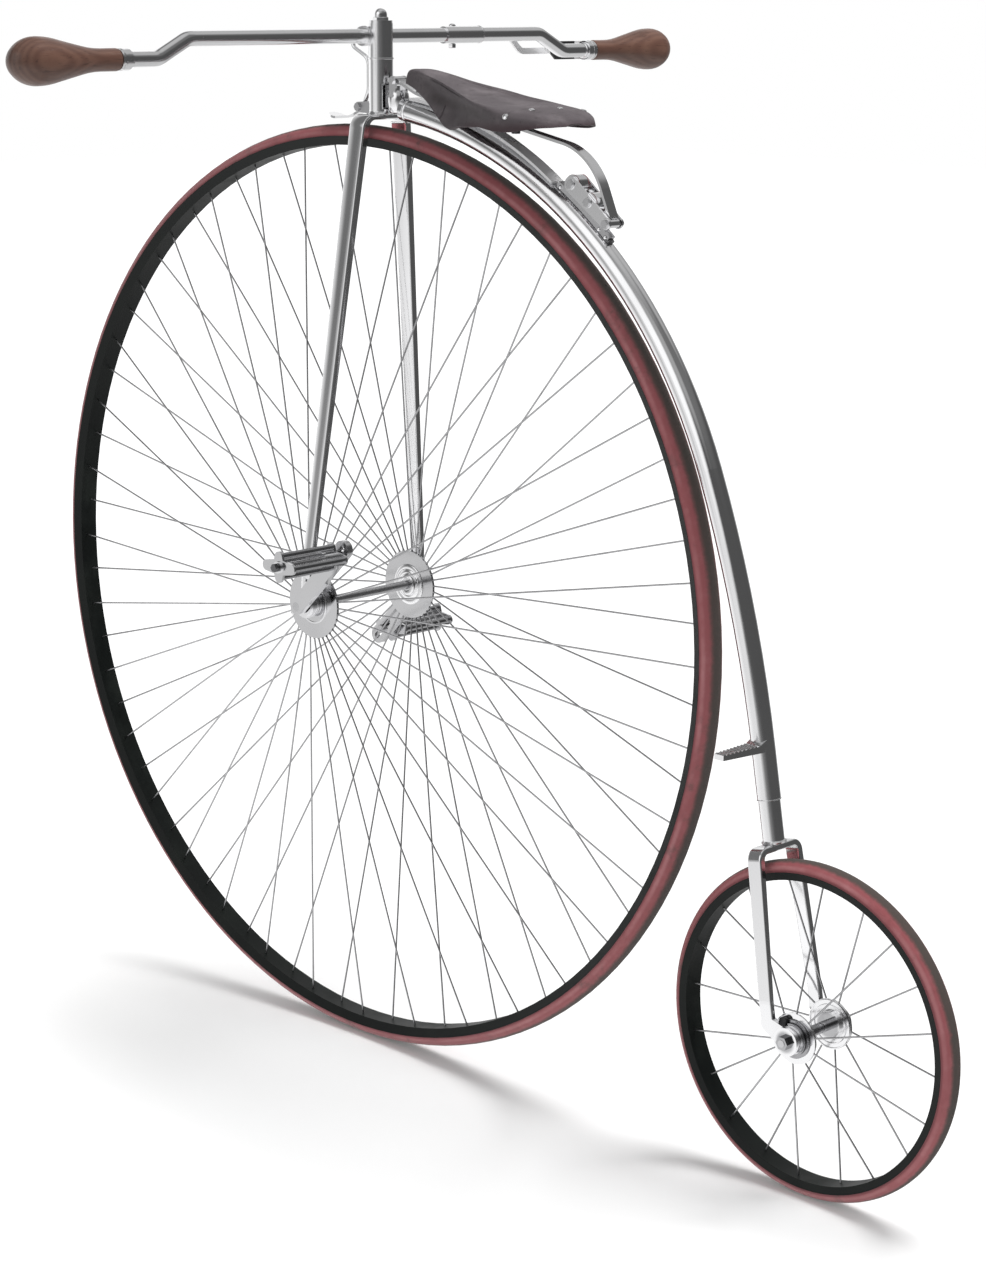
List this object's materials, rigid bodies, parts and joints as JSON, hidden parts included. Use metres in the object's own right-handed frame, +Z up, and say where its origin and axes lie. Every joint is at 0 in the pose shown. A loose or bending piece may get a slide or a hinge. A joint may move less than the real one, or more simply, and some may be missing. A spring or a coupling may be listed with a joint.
{
  "type": "penny farthing bicycle",
  "caption": "High-wheel bicycle: large driven front wheel with pedals, curved backbone, sprung leather saddle, dropped handlebar with spoon brake and a small trailing wheel.",
  "frame": {"origin": "on the saddle's top, in the middle, where the rider sits", "axes": "+X forward, +Y to the rider's left, +Z up"},
  "size_m": [1.3858, 0.98, 1.196],
  "materials": {
    "chrome": "bright nickel plate, a little hazed",
    "steel": "bright drawn steel",
    "red_rubber": "matte red rubber, dusty on the crest",
    "black_enamel": "gloss black stove enamel",
    "walnut": "satin varnish",
    "saddle_hide": "worn matte dark brown",
    "shadow_steel": "dull dark oiled iron"
  },
  "bodies": {
    "frame": {"backbone": "chrome", "neck": "chrome", "rear_fork": "chrome", "rear_axle": "steel", "rear_axle_nuts": "chrome", "mounting_step": "chrome", "saddle_leather": "saddle_hide", "saddle_frame": "shadow_steel", "saddle_spring_upper": "chrome", "saddle_spring_lower": "chrome", "spring_nose_link": "chrome", "shackle_plates": "chrome", "shackle_rollers": "chrome", "shackle_bolts": "steel", "spring_rail": "steel"},
    "fork": {"front_fork": "chrome", "axle_bearings": "chrome", "steering_head": "chrome", "handlebar_lug": "chrome", "head_cap_nut": "chrome", "handlebar": "chrome", "grip_ferrules": "chrome", "grips": "walnut", "brake_bracket": "chrome", "brake_lever": "chrome", "brake_pivot": "steel", "brake_spoon": "chrome"},
    "front_wheel": {"front_tyre": "red_rubber", "front_rim": "black_enamel", "front_spokes": "steel", "front_axle": "steel", "front_flanges": "chrome", "cranks": "chrome", "crank_bolts": "steel", "pedal_pins": "steel"},
    "left_pedal": {"left_pedal_plates": "chrome", "left_pedal_bars": "chrome", "left_pedal_barrel": "chrome"},
    "right_pedal": {"right_pedal_plates": "chrome", "right_pedal_bars": "chrome", "right_pedal_barrel": "chrome"},
    "rear_wheel": {"rear_tyre": "red_rubber", "rear_rim": "black_enamel", "rear_spokes": "steel", "rear_hub": "chrome"}
  },
  "joints": [
    {"name": "steering", "type": "hinge", "parent": "frame", "child": "fork", "pos_m": [0.201, 0, 0], "axis": [0, 0, 1], "range_deg": [-25, 25]},
    {"name": "front_wheel_spin", "type": "hinge", "parent": "fork", "child": "front_wheel", "pos_m": [0.235, 0, -0.576], "axis": [0, 1, 0], "continuous": true},
    {"name": "rear_wheel_spin", "type": "hinge", "parent": "frame", "child": "rear_wheel", "pos_m": [-0.43596, 0, -0.931], "axis": [0, 1, 0], "continuous": true},
    {"name": "left_pedal_spin", "type": "hinge", "parent": "front_wheel", "child": "left_pedal", "pos_m": [0.16712, 0.149, -0.50812], "axis": [0, 1, 0], "continuous": true},
    {"name": "right_pedal_spin", "type": "hinge", "parent": "front_wheel", "child": "right_pedal", "pos_m": [0.30288, -0.149, -0.64388], "axis": [0, 1, 0], "continuous": true}
  ]
}
